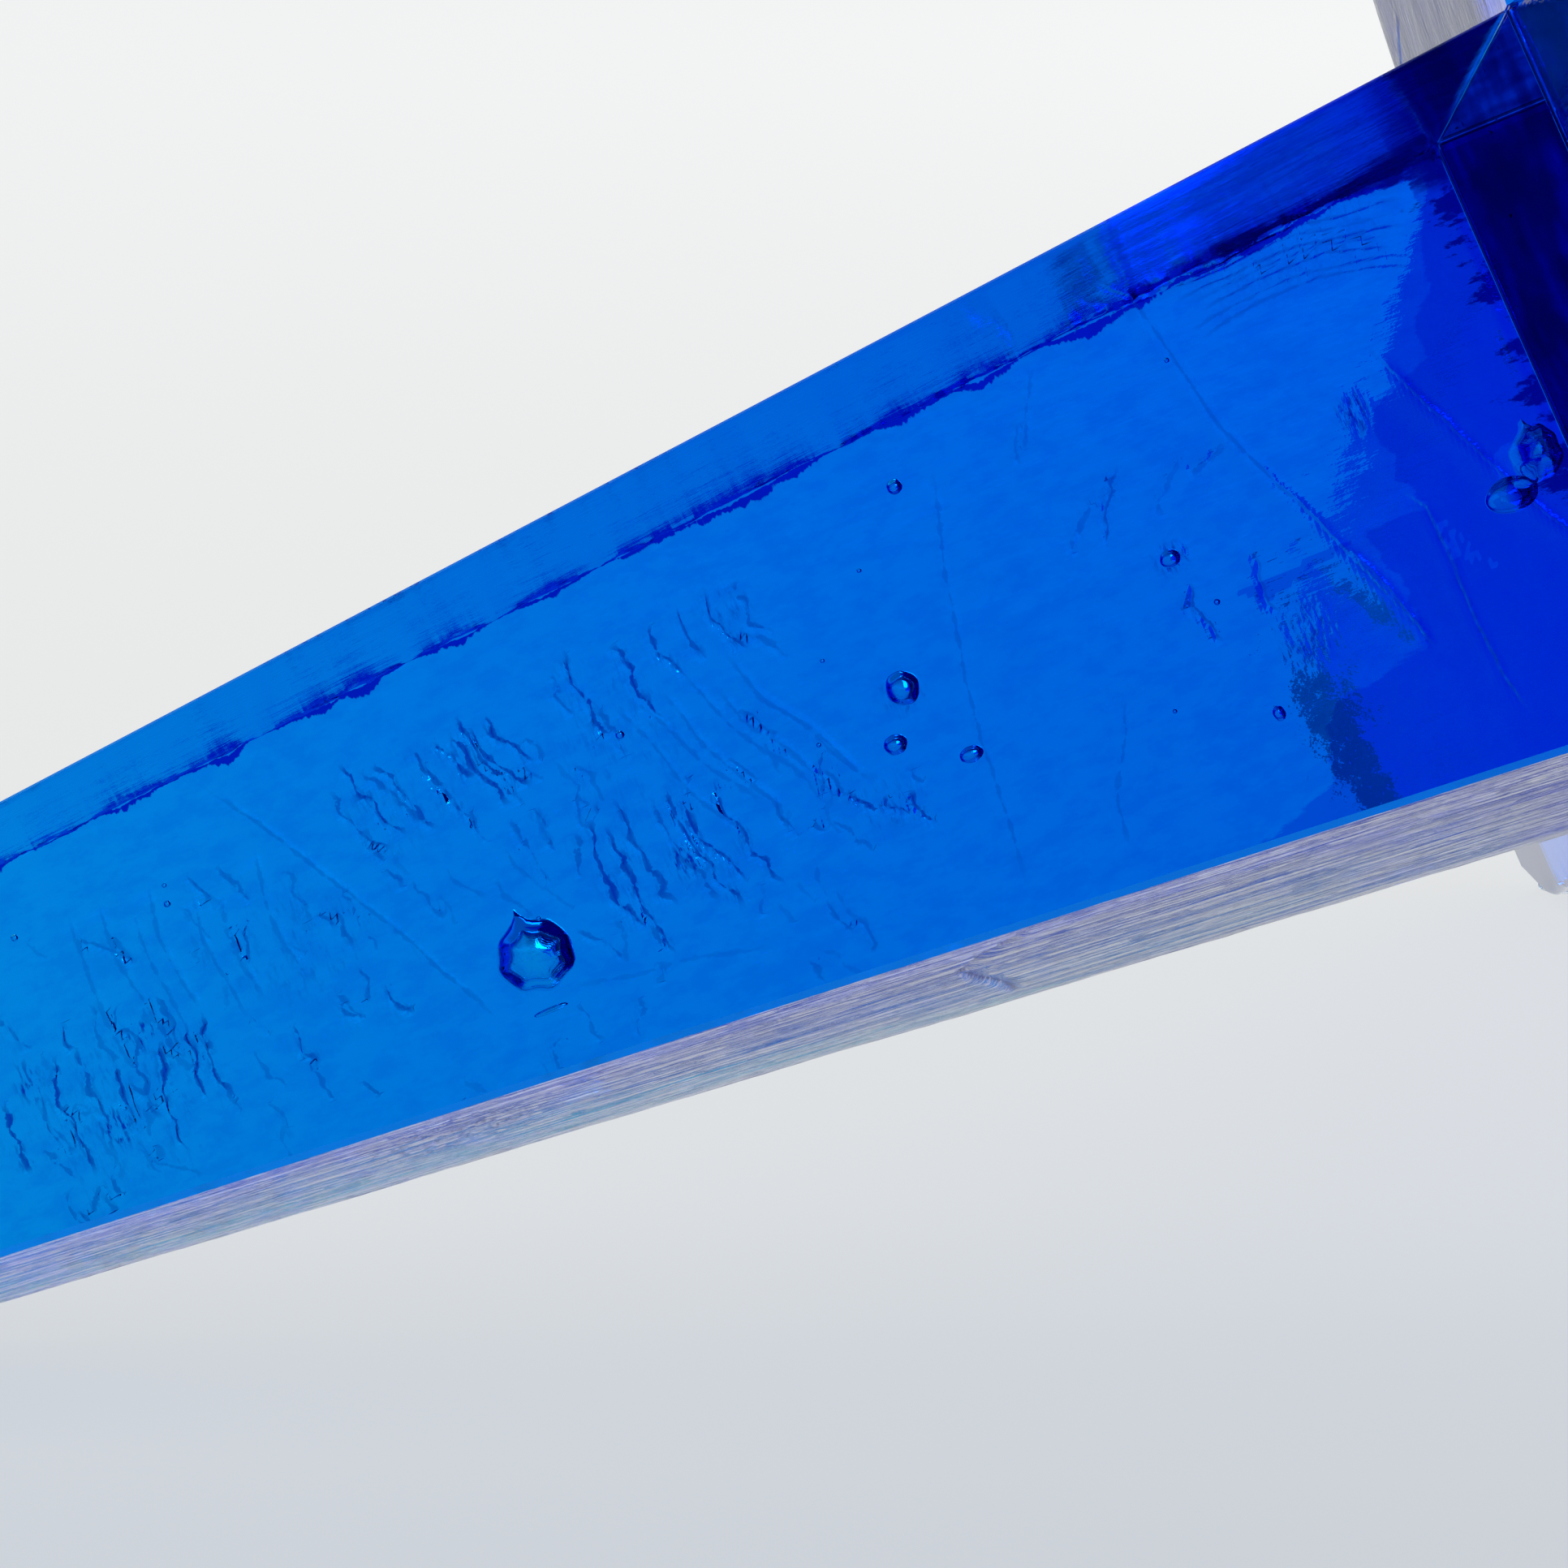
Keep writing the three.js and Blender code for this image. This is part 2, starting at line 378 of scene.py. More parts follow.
def left_leg_relief(u, w, seed):
    """The left leg's own marks, seen through its polished face."""
    relief = Relief(u, w, seed)
    rng = np.random.default_rng(12)
    slow = (0.8 * noise(u / 9, w / 9, 32), 0.8 * noise(u / 9, w / 9, 34))
    fine = 0.55 * noise(u / 1.7, w / 1.7, 35) + 0.45 * noise(u / 3.4, w / 2.6, 31)
    both = (fine + slow[0], 0.4 * noise(u / 2.6, w / 2.6, 33))
    for i, spot in enumerate(CRUMPLES):
        relief.crumpled(*spot, 50 + 2 * i)
    for amount, line in LAPS:
        relief.lap(line, amount, (0.5 * slow[0] + 0.2 * fine, 0.5 * slow[1]), dark=0.4)
    for line in SEAMS:
        relief.lap(line, 1.2, (0.3 * slow[0], 0), 0.35, 0.8)
    relief.crumpled(*UNDER_SPOT, 0.3, 1.8, 94, turn=0.5)
    for *row, amount in STRIATIONS:
        for line in wave_lines(*row, rng):
            relief.lap(line, amount, slow, 0.6, 1.5, dark=0.4)
    relief.crumpled(*SWIRL_SPOT, 0.16, 1.1, 90, turn=0.12)
    add_swirls(relief, slow, rng)
    for *row, amount in WAVES:
        for line in wave_lines(*row, rng):
            relief.lap(line, amount * rng.uniform(0.6, 1.2), both, 0.34, 0.7)
    add_strokes(relief, both, rng)
    return relief


def any_relief(u, w, seed):
    """Laps, waves and crumples at places of their own on an arm that the photograph hardly shows."""
    relief = Relief(u, w, seed)
    rng = np.random.default_rng(seed)
    far = u.max()
    bend = (0.9 * noise(u / 7, w / 7, seed + 20), 0.9 * noise(u / 7, w / 7, seed + 21))
    for i in range(8):
        middle = (rng.uniform(40, far - 8), rng.uniform(-70, 70))
        radii = (rng.uniform(6, 13), rng.uniform(5, 11))
        relief.crumpled(middle, radii, 0.2, 2.4, seed + 40 + 2 * i)
    for _ in range(8):
        u0 = rng.uniform(40, far - 8)
        w0 = rng.uniform(-60, 40)
        turn = rng.uniform(-0.9, 0.9)
        length = rng.uniform(12, 34)
        line = [(u0 + turn * k * length / 3, w0 + k * length / 3) for k in range(4)]
        relief.lap(line, rng.uniform(0.2, 0.4), bend, 0.9, 3.0)
    for _ in range(3):
        u0 = rng.uniform(45, far - 30)
        top = rng.uniform(-10, 22)
        for line in wave_lines(u0, u0 + 16, top, top - 10, 5, rng.uniform(-3, 3), rng):
            relief.lap(line, 0.3, bend, 0.9, 1.4)
    return relief


def ragged_corner_shade(u, past, seed):
    """Half the width left of a ragged ribbon of painted shade along the upper rear corner; negative outside
    of it.
    """
    drift = 1.2 * noise_along(u / 6.5, 0.4, seed + 60) + 0.5 * noise(u / 2.7, past / 6, seed + 61)
    drift = drift + 0.22 * noise(u / 0.9, past / 1.5, seed + 62)
    thick = 0.48 + 0.40 * noise_along(u / 3.6, 0.2, seed + 63)
    return thick - np.abs(past + 0.40 + drift)


def royal_reach(u, w):
    """How far a point of the left leg lies inside the deeper blue painted near the block as shade."""
    off, _ = distances(u, w, ROYAL_EDGE)
    (u0, w0), radius = BARE_SPOT
    return np.minimum(-off, np.hypot(u - u0, w - w0) - radius)


# Meshes of the arms

# What the material reads from a point, here away from all marks: side and nearness of its creases in
# each layer, scuff, and its places in the ribbon of painted shade and in the painted deeper blue
NO_MARKS = (3.0, 0.0, 3.0, 0.0, 0.0, -3.0, -3.0)
# What it reads from a face: whether it is bonded, made by the mould, wood-grained, painted with shade, and
# ground
FACE_VALUES = ("bonded", "mould", "under", "residue", "ground")


class Arm:
    """An arm's directions in the row frame and its sizes in millimetres, read from the CAD model."""

    def __init__(self, name, seed):
        self.name = name
        self.seed = seed
        self.shown = name == SHOWN
        self.counts = FINE if self.shown else PLAIN
        along, polished = (star_vector(*v) for v in ARMS[name])
        self.axes = (along, polished, along.cross(polished))
        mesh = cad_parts[name].data
        points = np.empty(len(mesh.vertices) * 3)
        mesh.vertices.foreach_get("co", points)
        points = (points.reshape(-1, 3) - np.array(CENTRE)) * PER_METRE
        u = points @ np.array(along)
        across = np.abs(points @ np.array(polished))
        self.start = u.min()
        self.reach = u.max()
        self.shoulder = self.reach - ARRIS
        self.half = across[u < self.start + 0.01].max()
        half_end = across[np.abs(u - self.shoulder) < 0.01].max()
        self.slope = (self.half - half_end) / (self.shoulder - self.start)

    def half_at(self, u):
        return self.half - (u - self.start) * self.slope


class GlassShape:
    """Points of an arm, flat without and bumpy with their relief, and its faces with their values."""

    def __init__(self):
        self.flat = np.empty((0, 3))
        self.bumpy = np.empty((0, 3))
        self.marks = np.empty((0, len(NO_MARKS)))
        self.faces = []
        self.values = {key: [] for key in FACE_VALUES}

    def add_points(self, flat, bumpy, marks):
        """Adds points and returns the number of the first of them."""
        first = len(self.flat)
        self.flat = np.concatenate([self.flat, flat])
        self.bumpy = np.concatenate([self.bumpy, bumpy])
        self.marks = np.concatenate([self.marks, marks])
        return first

    def add_face(self, face, **values):
        self.faces.append(face)
        for key, column in self.values.items():
            column.append(values.get(key, 0.0))


def side_columns(start, end, count, normal, crowd=1.0):
    """Columns of one side, from its start up to, but without, its end."""
    start, end = np.array(start, float), np.array(end, float)
    shares = [1 - (1 - i / count) ** crowd for i in range(count)]
    return [(*(start + (end - start) * share), normal) for share in shares]


def corner_columns(p_sign, q_sign, first):
    """Columns of one rounded corner, from an angle on."""
    rows = []
    for i in range(CORNER_STEPS):
        a = first + math.pi / 2 * i / CORNER_STEPS
        c, s = math.cos(a), math.sin(a)
        rows.append((np.array((p_sign, 0, 0, c - p_sign)), np.array((q_sign, 0, 0, s - q_sign)), (c, s)))
    return rows


def arm_columns(counts):
    """Columns around an arm, counterclockwise from the polished side's lower edge.

    Each is (p, q, normal), with p and q as weights of half the width, the lower arris, the upper arris
    and the corner's radius.
    """
    whole = (1, 0, 0, 0)
    minus = (-1, 0, 0, 0)
    by_lower = (1, -1, 0, 0)
    by_upper = (1, 0, -1, 0)
    by_corner = (1, 0, 0, -1)
    to_lower = (-1, 1, 0, 0)
    to_corner = (-1, 0, 0, 1)
    columns = side_columns([whole, to_lower], [whole, by_upper], counts["polished"], (1, 0))
    columns += side_columns([whole, by_upper], [by_upper, whole], 1, (1, 0))
    columns += side_columns([by_upper, whole], [to_corner, whole], counts["upper"], (0, 1), 1.8)
    columns += corner_columns(-1, 1, math.pi / 2)
    columns += side_columns([minus, by_corner], [minus, to_corner], counts["rear"], (-1, 0))
    columns += corner_columns(-1, -1, math.pi)
    columns += side_columns([to_corner, minus], [by_lower, minus], counts["lower"], (0, -1))
    columns += [(np.array(by_lower, float), np.array(minus, float), (0, -1))]
    return columns


def ring_places(arm):
    """Where the rings of an arm lie, from its start to its shoulder."""
    fine_end = min(arm.counts["fine_to"], arm.shoulder)
    count = max(2, round((fine_end - arm.start) / arm.counts["step"]))
    places = np.linspace(arm.start, fine_end, count)
    rest = arm.shoulder - fine_end
    if rest > 0:
        coarse = np.linspace(fine_end, arm.shoulder, max(3, round(rest / COARSE_STEP)))
        places = np.append(places, coarse[1:])
    return places


def corner_radii(arm, u, fine):
    """Radii of the upper and the lower rear corner in each ring."""
    upper = 0.7 + 0.35 * noise_along(u / 7, 0.3, arm.seed)
    upper = upper + 0.2 * noise_along(u / 2.1, 0.6, arm.seed + 1)
    for place, extra in SLUMPS.get(arm.name, ()):
        upper = upper + extra * np.exp(-((u - place) / 7) ** 2)
    lower = 1.2 + 0.12 * noise_along(u / 9, 0.3, arm.seed + 2)
    lower = lower + 0.08 * noise_along(u / 2.6, 0.6, arm.seed + 3)
    return np.maximum(upper, 1.25 - 1.1 * fine), np.maximum(lower, 1.25 - 0.5 * fine)


def plain_points(arm, u, columns):
    """Points of the arm without relief, as (ring, column, upq), and its lower arris in each ring."""
    weights = [np.array([c[k] for c in columns], float) for k in range(2)]
    fine = smooth_step((arm.reach - 5 - u) / 15) * arm.shown
    upper_radius, lower_radius = corner_radii(arm, u, fine)
    upper_columns = len(columns) - arm.counts["lower"] - 2 - arm.counts["rear"] / 2
    is_upper = np.arange(len(columns)) < upper_columns
    radius = np.where(is_upper[None, :], upper_radius[:, None], lower_radius[:, None])
    arrises = [(ARRIS + (width - ARRIS) * fine)[:, None] for width in FINE_ARRISES]
    size = (arm.half_at(u)[:, None], *arrises, radius)
    p, q = (sum(size[k] * weight[:, k] for k in range(4)) for weight in weights)
    return np.stack([np.broadcast_to(u[:, None], p.shape), p, q], axis=-1), arrises[0]


def mould_depth(arm, u, w, half, depth):
    """Depth of the relief, with the grain of the lower face and the notches of the rear edges."""
    is_lower = smooth_step((-w - half) / 2)
    if arm.name == BEHIND:
        depth = depth * (1 - 0.9 * is_lower)
    else:
        depth = depth * (1 - 0.5 * is_lower) + is_lower * grain(u, w, arm.seed + 90)
    edge = np.exp(-((np.abs(w) - half) / 1.8) ** 2)
    notch = 0.6 * noise(u / 5.5, w / 5, arm.seed + 7) + 0.45 * noise(u / 2.2, w / 2.4, arm.seed + 8)
    notch = np.clip(notch + 0.25 * noise(u / 1.0, w / 1.2, arm.seed + 9) + 0.35, 0, 1.2)
    return depth + edge * notch * np.where(w > 0, 0.4, 0.06)


def arm_points(arm):
    """Points of the arm without and with relief as (ring, column, upq), marks, and columns' normals."""
    columns = arm_columns(arm.counts)
    normal = np.array([c[2] for c in columns], float)
    rings = ring_places(arm)
    smooth, lower_arris = plain_points(arm, rings, columns)
    u, p, q = np.moveaxis(smooth, -1, 0)
    half = arm.half_at(rings)[:, None]
    w = q + np.where(q < 0, -1, 1) * (p + half)
    relief = (left_leg_relief if arm.shown else any_relief)(u, w, arm.seed + 10)
    mould = (normal[:, 0] < 0.5)[None, :] * smooth_step((half - lower_arris - p) / 1.3)
    ends = smooth_step((u - arm.start) / 1.2) * smooth_step((arm.shoulder - u) / 1.5)
    depth = mould_depth(arm, u, w, half, relief.depth) * mould * ends
    rough = smooth.copy()
    rough[..., 1] -= depth * normal[:, 0]
    rough[..., 2] -= depth * normal[:, 1]
    shown = mould * ends
    marks = [relief.side[0], relief.near[0] * shown, relief.side[1], relief.near[1] * shown]
    marks += [relief.scuff * shown, ragged_corner_shade(u, w - half, arm.seed)]
    marks.append(royal_reach(u, w) if arm.shown else np.full(w.shape, NO_MARKS[-1]))
    return smooth, rough, np.stack(marks, axis=-1), normal


def with_tip(arm, points):
    """Adds the ring around the tip's flat, one arris in from the shoulder, to an arm's points."""
    ring = points[-1].copy()
    shrink = (arm.half_at(arm.reach) - ARRIS - TIP_INSET) / (np.abs(ring[:, 1:]).max())
    ring[:, 0] = arm.reach
    ring[:, 1:] *= shrink
    return np.concatenate([points, ring[None]])


def quad(i, j, columns):
    """The face between two neighbouring rings and columns of a closed grid."""
    k = (j + 1) % columns
    return (i * columns + j, i * columns + k, (i + 1) * columns + k, (i + 1) * columns + j)


def wall_values(arm, normal):
    """What the material reads from the faces of one column; nothing on the polished side."""
    if normal[0] >= 0.5:
        return {}
    is_lower = normal[1] < -0.9
    under = 1.0 if arm.shown else 0.05
    mould = 0.1 if is_lower and arm.name == BEHIND else 1.0
    return {"mould": mould, "under": under * is_lower, "residue": float(arm.shown)}


def add_walls(arm, shape):
    """Outside of an arm: its walls, tip and joint, of which the adhesive wets all but a fine rim."""
    smooth, rough, marks, normals = arm_points(arm)
    smooth = with_tip(arm, smooth)
    rough = with_tip(arm, rough)
    marks = np.concatenate([marks, marks[-1:]]).reshape(-1, len(NO_MARKS))
    rings, columns = smooth.shape[:2]
    shape.add_points(smooth.reshape(-1, 3), rough.reshape(-1, 3), marks)
    wetted = smooth[0] * (1, FILM_HALF / BLOCK_HALF, FILM_HALF / BLOCK_HALF)
    joint = shape.add_points(wetted, wetted, marks[:columns])
    values = [wall_values(arm, normal) for normal in normals[:-1]] + [{"ground": 0.5}]
    for i in range(rings - 1):
        for j in range(columns):
            shape.add_face(quad(i, j, columns), **(values[j] if i < rings - 2 else {}))
    for j in range(columns):
        k = (j + 1) % columns
        shape.add_face((joint + j, joint + k, k, j))
    shape.add_face(tuple(range(joint - columns, joint)), ground=0.4 if arm.name == BEHIND else 0.0)
    shape.add_face(tuple(range(joint, joint + columns))[::-1], bonded=1.0)


def bubble_shape(place, size, seed, detail):
    """A hollow in the glass: points and inward-facing triangles."""
    bm = bmesh.new()
    bmesh.ops.create_icosphere(bm, subdivisions=detail, radius=1)
    points = np.array([v.co[:] for v in bm.verts])
    faces = [[v.index for v in f.verts][::-1] for f in bm.faces]
    bm.free()
    angle = np.arctan2(points[:, 2], points[:, 0])
    reach = np.hypot(points[:, 0], points[:, 2])
    lump = 0.07 * noise(points[:, 0] * 1.3 + 5, points[:, 2] * 1.3 + points[:, 1], seed)
    big = max(size) > 6
    sides = (0.03 if big else 0.0) * np.cos(8 * angle + seed) * reach
    points = points * (1 + lump + sides)[:, None] * np.array(size) / 2
    if big:
        spike = np.exp(-((angle - 1.5) / 0.10) ** 2) * smooth_step((reach - 0.8) / 0.2)
        points[:, 2] += spike
    return points + np.array(place), faces


def arm_bubbles(arm, seed):
    rng = np.random.default_rng(seed)
    rows = list(BUBBLES) if arm.shown else []
    for _ in range(SEEDS):
        u = rng.uniform(arm.start + 6, arm.reach - 8)
        room = 0.75 * arm.half_at(u)
        size = 0.45 + (0.5 if arm.shown else 3.2) * rng.random() ** 3
        place = (u, rng.uniform(-room, room), rng.uniform(-room, room))
        rows.append((place, (size, size * rng.uniform(0.8, 1), size)))
    return rows


def add_bubbles(arm, shape):
    for i, (place, size) in enumerate(arm_bubbles(arm, arm.seed + 200)):
        points, triangles = bubble_shape(place, size, arm.seed + i, 4 if max(size) > 3 else 3)
        first = shape.add_points(points, points, np.tile(NO_MARKS, (len(points), 1)))
        for triangle in triangles:
            shape.add_face(tuple(first + v for v in triangle))


# Pieces

def to_row(points, axes):
    """Points of a frame with the given axes, in metres in the row frame."""
    turn = np.array([axis[:] for axis in axes])
    return points @ turn / PER_METRE + np.array(CENTRE)


def smooth_mesh(name, points, faces, sharp_from):
    """A smooth mesh that keeps its edges sharp from an angle in degrees on."""
    mesh = bpy.data.meshes.new(name)
    mesh.from_pydata(points, [], faces)
    mesh.shade_smooth()
    mesh.update()
    mesh.set_sharp_from_angle(angle=math.radians(sharp_from))
    return mesh


def store_vectors(mesh, name, kind, values):
    mesh.attributes.new(name, kind, "POINT").data.foreach_set("vector", values.ravel())


def store_values(mesh, name, values):
    mesh.attributes.new(name, "FLOAT", "FACE").data.foreach_set("value", values)


def new_piece(name, data):
    """An object in the scene that holds a mesh, a lamp or a camera."""
    piece = bpy.data.objects.new(name, data)
    bpy.context.scene.collection.objects.link(piece)
    return piece


def build_arm(name, seed):
    """One arm of glass, closed, with its bubbles as hollows."""
    arm = Arm(name, seed)
    shape = GlassShape()
    add_walls(arm, shape)
    add_bubbles(arm, shape)
    mesh = smooth_mesh("glass_" + name, to_row(shape.flat, arm.axes).tolist(), shape.faces, 30)
    mesh.vertices.foreach_set("co", to_row(shape.bumpy, arm.axes).ravel())
    for key, values in shape.values.items():
        store_values(mesh, key, values)
    store_vectors(mesh, "local", "FLOAT_VECTOR", shape.bumpy)
    store_vectors(mesh, "crease_a", "FLOAT2", shape.marks[:, 0:2])
    store_vectors(mesh, "crease_b", "FLOAT2", shape.marks[:, 2:4])
    # torn holds the scuff and the places in the painted shade of the corner ribbon and the deeper blue
    store_vectors(mesh, "torn", "FLOAT_VECTOR", shape.marks[:, 4:7])
    mesh.update()
    if name in LEGS:
        grind_foot(mesh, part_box(name)[0].z)
    return new_piece("glass_" + name, mesh)


def grind_foot(mesh, height):
    """Cuts a leg's lowest corner off level and marks the flat as ground."""
    bm = bmesh.new()
    bm.from_mesh(mesh)
    geometry = bm.verts[:] + bm.edges[:] + bm.faces[:]
    cut = bmesh.ops.bisect_plane(
        bm, geom=geometry, plane_co=(0, 0, height), plane_no=(0, 0, -1), clear_outer=True)
    edges = [e for e in cut["geom_cut"] if isinstance(e, bmesh.types.BMEdge)]
    for edge in edges:
        edge.smooth = False
    made = bmesh.ops.contextual_create(bm, geom=edges)
    ground = bm.faces.layers.float["ground"]
    for face in made["faces"]:
        face[ground] = 1.0
        face.normal_update()
        if face.normal.z > 0:
            face.normal_flip()
    bm.to_mesh(mesh)
    bm.free()


def second_largest(vector):
    """Of the sizes of a vector's parts; near the block's edges it is near half its width."""
    return sorted(abs(part) for part in vector)[1]


def build_hub():
    """The block inside the star. The films wet its faces, and a fine rim and its edges meet air."""
    bm = bmesh.new()
    bmesh.ops.create_cube(bm, size=2 * BLOCK_HALF)
    bmesh.ops.bevel(bm, geom=bm.edges[:], offset=BLOCK_ARRIS, segments=2, profile=0.35, affect="EDGES")
    sides = [f for f in bm.faces if f.calc_area() > BLOCK_HALF ** 2]
    bmesh.ops.inset_individual(bm, faces=sides, thickness=BLOCK_HALF - BLOCK_ARRIS - FILM_HALF)
    long_edges = [e for e in bm.edges if e.calc_length() > BLOCK_HALF]
    bmesh.ops.subdivide_edges(bm, edges=long_edges, cuts=40, use_grid_fill=True)
    bonded = [float(second_largest(f.calc_center_median()) < FILM_HALF) for f in bm.faces]
    for vert in bm.verts:
        if second_largest(vert.co) > BLOCK_HALF - 0.2:
            place = (np.array([sum(vert.co) / 3]), np.array([vert.co.x / 5]))
            shift = 0.05 * (1 + noise(*place, 5)[0])
            vert.co = vert.co * (1 - shift / 60)
    mesh = bpy.data.meshes.new("glass_block")
    bm.to_mesh(mesh)
    bm.free()
    points = np.array([v.co[:] for v in mesh.vertices])
    mesh.vertices.foreach_set("co", to_row(points, (STAR_X, STAR_Y, STAR_Z)).ravel())
    store_values(mesh, "bonded", bonded)
    store_vectors(mesh, "local", "FLOAT_VECTOR", points)
    mesh.update()
    return new_piece("glass_block", mesh)


FILM_RIM = 32.42  # farthest that a film's rim comes from the middle of its joint
FILM_POINTS = 240  # around the rim
# Layers of a film: height above the middle of the block, and how far the rim is drawn in
FILM_LAYERS = ((32.56, 0.1), (32.63, 0.0), (32.77, 0.0), (32.84, 0.1))
FILM_BUBBLES = 16
RIM_BUBBLES = 9  # of them, close to the rim


def film_rim(seed):
    """The wavy rim of a film, as points around its middle."""
    rim = []
    for i in range(FILM_POINTS):
        t = 4 * i / FILM_POINTS
        side = int(t)
        wave = FILM_RIM - 0.06 * (1 + noise(np.array([t * 9]), np.array([0.4]), seed)[0])
        part = ((t - side) * 2 - 1) * wave
        rim.append([(wave, part), (-part, wave), (-wave, -part), (part, -wave)][side])
    return np.array(rim)


def film_bubble(i, seed, rng):
    """One of the tiny bubbles trapped in a film."""
    place = rng.uniform(-31, 31, 2)
    if i < RIM_BUBBLES:
        place[i % 2] = rng.choice([-1, 1]) * rng.uniform(30.5, 31.6)
    hollow, triangles = bubble_shape((0, 0, 0), (1, 1, 1), seed + i, 2)
    size = rng.uniform(0.25, 0.7)
    hollow = hollow[:, [1, 0, 2]] * np.array([0.18, size, size]) + np.array([32.7, *place])
    return hollow, [f[::-1] for f in triangles]


def build_bond(name, seed):
    """A film of clear adhesive with a wavy rim and tiny trapped bubbles."""
    along, polished = (star_vector(*v) for v in ARMS[name])
    rim = film_rim(seed)
    layers = []
    for height, inset in FILM_LAYERS:
        layers.append(np.column_stack([np.full(FILM_POINTS, height), rim * (1 - inset / 32)]))
    points = np.concatenate(layers)
    faces = [quad(i, j, FILM_POINTS) for i in range(len(layers) - 1) for j in range(FILM_POINTS)]
    bonded = [0.0] * len(faces) + [1.0, 1.0]
    faces.append(tuple(range(FILM_POINTS))[::-1])
    faces.append(tuple(range(len(points) - FILM_POINTS, len(points))))
    rng = np.random.default_rng(seed)
    for i in range(FILM_BUBBLES):
        hollow, triangles = film_bubble(i, seed, rng)
        faces += [tuple(len(points) + v for v in f) for f in triangles]
        points = np.concatenate([points, hollow])
        bonded += [0.0] * len(triangles)
    points = to_row(points, (along, polished, along.cross(polished)))
    mesh = smooth_mesh("film_" + name, points.tolist(), faces, 50)
    store_values(mesh, "bonded", bonded)
    return new_piece("film_" + name, mesh)


PAD_TURNS = 72
# Dish under a bumper: share of the radius, and height in metres
PAD_DISH = [(0.0, 0.00012), (0.30, 0.00011), (0.55, 0.00008), (0.72, 0.00002), (0.80, 0.0), (0.86, 0.00001)]


def pad_profile(tall):
    """A bumper's section in the same terms: its dish, rounded rim, side, bead and upper face."""
    profile = list(PAD_DISH)
    for i in range(7):
        a = math.pi / 2 * i / 6
        profile.append((0.88 + 0.1 * math.sin(a), 0.0004 * (1 - math.cos(a))))
    profile += [(0.985, 0.0008), (0.99, tall - 0.00035), (1.0, tall - 0.00025), (1.0, tall - 0.0001)]
    return profile + [(0.985, tall - 0.00002), (0.96, tall), (0.0, tall)]


def build_pad(name):
    """A clear bumper, with a shallow dish moulded in its underside and a fine bead around its top."""
    low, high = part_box("pad_" + name)
    middle = (low + high) / 2
    radius = (high.x - low.x) / 2
    profile = pad_profile(high.z - low.z)
    points = []
    for share, z in profile:
        for i in range(PAD_TURNS):
            a = 2 * math.pi * i / PAD_TURNS
            x = middle.x + radius * share * math.cos(a)
            points.append((x, middle.y + radius * share * math.sin(a), low.z + z))
    faces = [quad(i, j, PAD_TURNS) for i in range(len(profile) - 1) for j in range(PAD_TURNS)]
    mesh = bpy.data.meshes.new("bumper_" + name)
    mesh.from_pydata(points, [], faces)
    bm = bmesh.new()
    bm.from_mesh(mesh)
    bmesh.ops.remove_doubles(bm, verts=bm.verts, dist=1e-7)
    bmesh.ops.recalc_face_normals(bm, faces=bm.faces)
    bm.to_mesh(mesh)
    bm.free()
    mesh.shade_smooth()
    mesh.set_sharp_from_angle(angle=math.radians(50))
    return new_piece("bumper_" + name, mesh)


# Materials

class Nodes:
    """A material's or the world's node tree, with short calls to fill it."""

    def __init__(self, tree):
        self.tree = tree
        tree.nodes.clear()

    def add(self, kind, sockets=None, **settings):
        """A new node. Its sockets get values of their own, or links from other nodes' outputs."""
        node = self.tree.nodes.new("ShaderNode" + kind)
        for key, value in settings.items():
            setattr(node, key, value)
        for key, value in (sockets or {}).items():
            if isinstance(value, bpy.types.NodeSocket):
                self.tree.links.new(value, node.inputs[key])
            else:
                node.inputs[key].default_value = value
        return node

    def math(self, operation, first, second=0.0, clamp=False):
        node = self.add("Math", {0: first, 1: second}, operation=operation, use_clamp=clamp)
        return node.outputs[0]

    def plus(self, first, second):
        return self.math("ADD", first, second)

    def minus(self, first, second):
        return self.math("SUBTRACT", first, second)

    def times(self, first, second, clamp=False):
        return self.math("MULTIPLY", first, second, clamp)

    def larger(self, first, second, clamp=False):
        return self.math("MAXIMUM", first, second, clamp)

    def swing(self, value, span):
        """A noise between 0 and 1, turned into one around 0 with the given span."""
        return self.times(self.minus(value, 0.5), span)

    def dot(self, vector, direction):
        node = self.add("VectorMath", {0: vector, 1: direction}, operation="DOT_PRODUCT")
        return node.outputs["Value"]

    def parts(self, vector):
        return self.add("SeparateXYZ", {0: vector}).outputs

    def attribute(self, name):
        return self.add("Attribute", attribute_name=name, attribute_type="GEOMETRY").outputs

    def smooth_range(self, value, low, high, blend="SMOOTHSTEP"):
        """0 at low, 1 at high, smooth between; low may be the larger."""
        sockets = {"Value": value, "From Min": low, "From Max": high}
        return self.add("MapRange", sockets, interpolation_type=blend).outputs[0]

    def mix_colour(self, share, first, second):
        return self.add("Mix", {0: share, 6: first, 7: second}, data_type="RGBA").outputs[2]

    def mix_shader(self, share, first, second):
        return self.add("MixShader", {0: share, 1: first, 2: second}).outputs[0]

    def noise(self, vector, scales, detail, roughness=0.55):
        """Noise between 0 and 1 over a vector, with its own scale along each axis."""
        stretch = self.add("VectorMath", {0: vector, 1: scales}, operation="MULTIPLY")
        sockets = {"Vector": stretch.outputs[0], "Scale": 1.0, "Detail": detail, "Roughness": roughness}
        return self.add("TexNoise", sockets).outputs["Fac"]

    def bump(self, height, distance, strength):
        sockets = {"Height": height, "Distance": distance, "Strength": strength}
        return self.add("Bump", sockets).outputs[0]


def new_material(name):
    material = bpy.data.materials.new(name)
    material.use_nodes = True
    return material, Nodes(material.node_tree)


